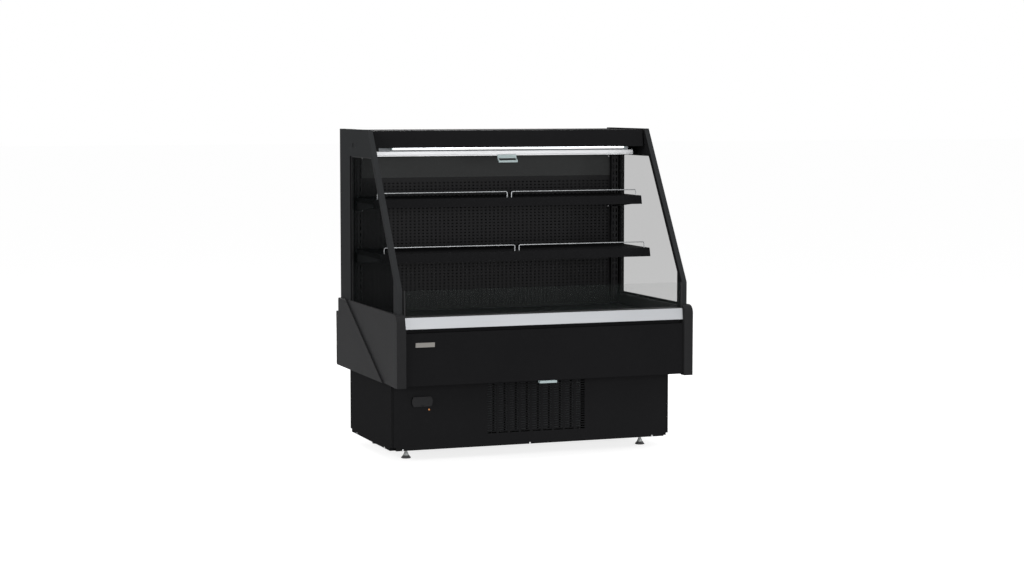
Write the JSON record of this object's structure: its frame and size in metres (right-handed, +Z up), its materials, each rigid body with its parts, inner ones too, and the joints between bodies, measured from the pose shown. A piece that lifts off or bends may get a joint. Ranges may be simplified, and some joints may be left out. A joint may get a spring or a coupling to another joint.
{
  "type": "open multideck display fridge",
  "caption": "Low open-front refrigerated merchandiser with glazed sloping ends, tilting shelves, wire product stops, lit canopy, night curtain and a machine base on levelling feet.",
  "frame": {"origin": "on the floor, at the middle of the overall width and depth", "axes": "+Z up, front towards -Y, +X to the right of someone facing the front"},
  "size_m": [1.283, 0.874, 1.336],
  "materials": {
    "black_sheet": "satin powder coat",
    "frame_grey": "fine textured powder coat",
    "bumper_grey": "fine grained moulded plastic",
    "rail_aluminium": "satin anodised",
    "clear_glass": "clear, slightly grey",
    "black_rubber": "matt",
    "blank_plate": "brushed, blank",
    "insulation": "rigid foam",
    "bare_steel": "zinc plated",
    "inner_sheet": "satin powder coat",
    "lamp_diffuser": "frosted, lit",
    "honeycomb": "matt",
    "finned_aluminium": "finned",
    "copper": "drawn copper tube",
    "compressor_black": "gloss enamel",
    "control_plastic": "satin plastic",
    "indicator_orange": "translucent",
    "chrome_wire": "bright",
    "handle_plastic": "light blue-grey",
    "curtain_cloth": "woven aluminised cloth",
    "fan_plastic": "satin",
    "motor_metal": "satin",
    "foot_zinc": "zinc plated with dark pad",
    "screw_steel": "plated",
    "gland_plastic": "nylon"
  },
  "bodies": {
    "cabinet": {"base_frame": "black_sheet", "base_side_panels": "black_sheet", "lower_front_panel": "black_sheet", "rear_service_panel": "black_sheet", "tub_shell": "black_sheet", "cabinet_foam": "insulation", "cabinet_liner": "inner_sheet", "rear_outer_panel": "black_sheet", "upper_front_panel": "black_sheet", "nameplate": "blank_plate", "curtain_catch": "handle_plastic", "nose_rail": "rail_aluminium", "front_glass": "clear_glass", "glass_seals": "black_rubber", "side_glasses": "clear_glass", "left_bumper": "bumper_grey", "right_bumper": "bumper_grey", "left_end_frame": "frame_grey", "right_end_frame": "frame_grey", "perforated_back_panel": "inner_sheet", "upper_back_panel": "inner_sheet", "shelf_uprights": "inner_sheet", "canopy_top": "black_sheet", "canopy_header": "black_sheet", "lamp": "lamp_diffuser", "air_outlet": "honeycomb", "evaporator_fan_panel": "inner_sheet", "evaporator_coil": "finned_aluminium", "fan_motors": "motor_metal", "compressor": "compressor_black", "condenser_coil": "finned_aluminium", "condenser_shroud": "black_sheet", "copper_pipes": "copper", "electrical_box": "black_sheet", "controller": "control_plastic", "indicator_lamp": "indicator_orange", "cable_gland": "gland_plastic", "panel_screws": "screw_steel"},
    "top_shelf": {"top_shelf": "black_sheet", "top_shelf_brackets": "black_sheet"},
    "middle_shelf": {"middle_shelf": "black_sheet", "middle_shelf_brackets": "black_sheet"},
    "curtain": {"curtain_bar": "rail_aluminium", "curtain_handle": "handle_plastic"},
    "top_left_stop": {"top_left_stop": "chrome_wire"},
    "top_right_stop": {"top_right_stop": "chrome_wire"},
    "middle_left_stop": {"middle_left_stop": "chrome_wire"},
    "middle_right_stop": {"middle_right_stop": "chrome_wire"},
    "curtain_roll": {"curtain_roll": "curtain_cloth"},
    "condenser_fan": {"condenser_fan": "fan_plastic"},
    "evaporator_fan_1": {"evaporator_fan_1": "fan_plastic"},
    "evaporator_fan_2": {"evaporator_fan_2": "fan_plastic"},
    "controller_cover": {"controller_cover": "control_plastic"},
    "levelling_foot_1": {"levelling_foot_1": "foot_zinc"},
    "levelling_foot_2": {"levelling_foot_2": "foot_zinc"},
    "levelling_foot_3": {"levelling_foot_3": "foot_zinc"},
    "levelling_foot_4": {"levelling_foot_4": "foot_zinc"},
    "deck_pan_1": {"deck_pan_1": "inner_sheet"},
    "deck_pan_2": {"deck_pan_2": "inner_sheet"},
    "return_air_grille": {"return_air_grille": "inner_sheet"}
  },
  "joints": [
    {"name": "top_shelf_tilt", "type": "hinge", "parent": "cabinet", "child": "top_shelf", "pos_m": [0, 0.2676, 1.0475], "axis": [-1, 0, 0], "range_deg": [0, 15]},
    {"name": "middle_shelf_tilt", "type": "hinge", "parent": "cabinet", "child": "middle_shelf", "pos_m": [0, 0.2676, 0.828], "axis": [-1, 0, 0], "range_deg": [0, 15]},
    {"name": "top_left_stop_lift", "type": "slide", "parent": "top_shelf", "child": "top_left_stop", "axis": [0, 0, 1], "range_m": [0, 0.03]},
    {"name": "top_right_stop_lift", "type": "slide", "parent": "top_shelf", "child": "top_right_stop", "axis": [0, 0, 1], "range_m": [0, 0.03]},
    {"name": "middle_left_stop_lift", "type": "slide", "parent": "middle_shelf", "child": "middle_left_stop", "axis": [0, 0, 1], "range_m": [0, 0.03]},
    {"name": "middle_right_stop_lift", "type": "slide", "parent": "middle_shelf", "child": "middle_right_stop", "axis": [0, 0, 1], "range_m": [0, 0.03]},
    {"name": "curtain_pull", "type": "slide", "parent": "cabinet", "child": "curtain", "axis": [0, -0.67, -0.7424], "range_m": [0, 0.62], "stiffness_N_per_m": 10, "springref_m": -1.5},
    {"name": "curtain_roll_turn", "type": "hinge", "parent": "cabinet", "child": "curtain_roll", "pos_m": [0, 0.092, 1.296], "axis": [1, 0, 0], "range_deg": [0, 1560]},
    {"name": "condenser_fan_spin", "type": "hinge", "parent": "cabinet", "child": "condenser_fan", "pos_m": [0.016, -0.127, 0.183], "axis": [0, 1, 0], "continuous": true},
    {"name": "evaporator_fan_1_spin", "type": "hinge", "parent": "cabinet", "child": "evaporator_fan_1", "pos_m": [-0.3, -0.2235, 0.457], "axis": [0, 1, 0], "continuous": true},
    {"name": "evaporator_fan_2_spin", "type": "hinge", "parent": "cabinet", "child": "evaporator_fan_2", "pos_m": [0.3, -0.2235, 0.457], "axis": [0, 1, 0], "continuous": true},
    {"name": "controller_cover_flip", "type": "hinge", "parent": "cabinet", "child": "controller_cover", "pos_m": [-0.4815, -0.2621, 0.2591], "axis": [-1, 0, 0], "range_deg": [0, 90]},
    {"name": "levelling_foot_1_turn", "type": "hinge", "parent": "cabinet", "child": "levelling_foot_1", "pos_m": [-0.521, -0.168, 0], "axis": [0, 0, 1], "continuous": true},
    {"name": "levelling_foot_2_turn", "type": "hinge", "parent": "cabinet", "child": "levelling_foot_2", "pos_m": [-0.521, 0.24, 0], "axis": [0, 0, 1], "continuous": true},
    {"name": "levelling_foot_3_turn", "type": "hinge", "parent": "cabinet", "child": "levelling_foot_3", "pos_m": [0.521, -0.168, 0], "axis": [0, 0, 1], "continuous": true},
    {"name": "levelling_foot_4_turn", "type": "hinge", "parent": "cabinet", "child": "levelling_foot_4", "pos_m": [0.521, 0.24, 0], "axis": [0, 0, 1], "continuous": true},
    {"name": "deck_pan_1_lift", "type": "slide", "parent": "cabinet", "child": "deck_pan_1", "axis": [0, 0, 1], "range_m": [0, 0.12]},
    {"name": "deck_pan_2_lift", "type": "slide", "parent": "cabinet", "child": "deck_pan_2", "axis": [0, 0, 1], "range_m": [0, 0.12]},
    {"name": "return_air_grille_lift", "type": "slide", "parent": "cabinet", "child": "return_air_grille", "axis": [0, 0, 1], "range_m": [0, 0.025]}
  ],
  "couplings": [
    {"joint": "curtain_roll_turn", "follows": "curtain_pull", "rad_per_m": 43.478}
  ]
}
